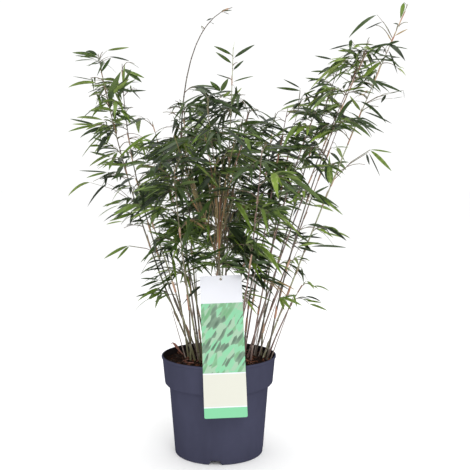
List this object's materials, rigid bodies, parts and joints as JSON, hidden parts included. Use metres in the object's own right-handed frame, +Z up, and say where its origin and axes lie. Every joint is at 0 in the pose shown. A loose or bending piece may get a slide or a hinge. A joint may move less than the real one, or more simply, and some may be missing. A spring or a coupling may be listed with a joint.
{
  "type": "potted bamboo",
  "caption": "Bushy clump-forming bamboo with slender leaning canes and narrow leaves, standing in a round dark nursery pot with a collar and an unlettered strip label.",
  "frame": {"origin": "centre of the pot's flat underside", "axes": "+Z up; -Y towards the side that carries the label; +X to the right of that side"},
  "size_m": [0.6695, 0.5098, 0.8895],
  "materials": {
    "pot_plastic": "satin dark slate grey",
    "peat": "rough dark brown potting peat",
    "label": "satin pale card",
    "string": "matt pale string",
    "cane_bark": "satin brown-olive cane",
    "leaves": "satin dark green leaves"
  },
  "bodies": {
    "root": {"pot": "pot_plastic", "soil": "peat", "label_card": "label", "label_tie": "string", "cane_left_tall": "cane_bark", "foliage_left_tall": "leaves", "cane_left_second": "cane_bark", "foliage_left_second": "leaves", "cane_left_low": "cane_bark", "foliage_left_low": "leaves", "cane_left_outer": "cane_bark", "foliage_left_outer": "leaves", "cane_left_short": "cane_bark", "foliage_left_short": "leaves", "cane_front_left": "cane_bark", "foliage_front_left": "leaves", "cane_center_left": "cane_bark", "foliage_center_left": "leaves", "cane_whip": "cane_bark", "foliage_whip": "leaves", "cane_center_top": "cane_bark", "foliage_center_top": "leaves", "cane_arch_left": "cane_bark", "foliage_arch_left": "leaves", "cane_center_right": "cane_bark", "foliage_center_right": "leaves", "cane_front_center": "cane_bark", "foliage_front_center": "leaves", "cane_front_right": "cane_bark", "foliage_front_right": "leaves", "cane_front_low": "cane_bark", "foliage_front_low": "leaves", "cane_middle_low": "cane_bark", "foliage_middle_low": "leaves", "cane_right_inner": "cane_bark", "foliage_right_inner": "leaves", "cane_right_mid": "cane_bark", "foliage_right_mid": "leaves", "cane_right_second": "cane_bark", "foliage_right_second": "leaves", "cane_right_upright": "cane_bark", "foliage_right_upright": "leaves", "cane_right_far": "cane_bark", "foliage_right_far": "leaves", "cane_right_third": "cane_bark", "foliage_right_third": "leaves", "cane_right_low": "cane_bark", "foliage_right_low": "leaves", "cane_right_crest": "cane_bark", "foliage_right_crest": "leaves", "cane_back_left": "cane_bark", "foliage_back_left": "leaves", "cane_back_middle": "cane_bark", "foliage_back_middle": "leaves", "cane_back_right": "cane_bark", "foliage_back_right": "leaves", "cane_back_far_right": "cane_bark", "foliage_back_far_right": "leaves"}
  },
  "joints": []
}
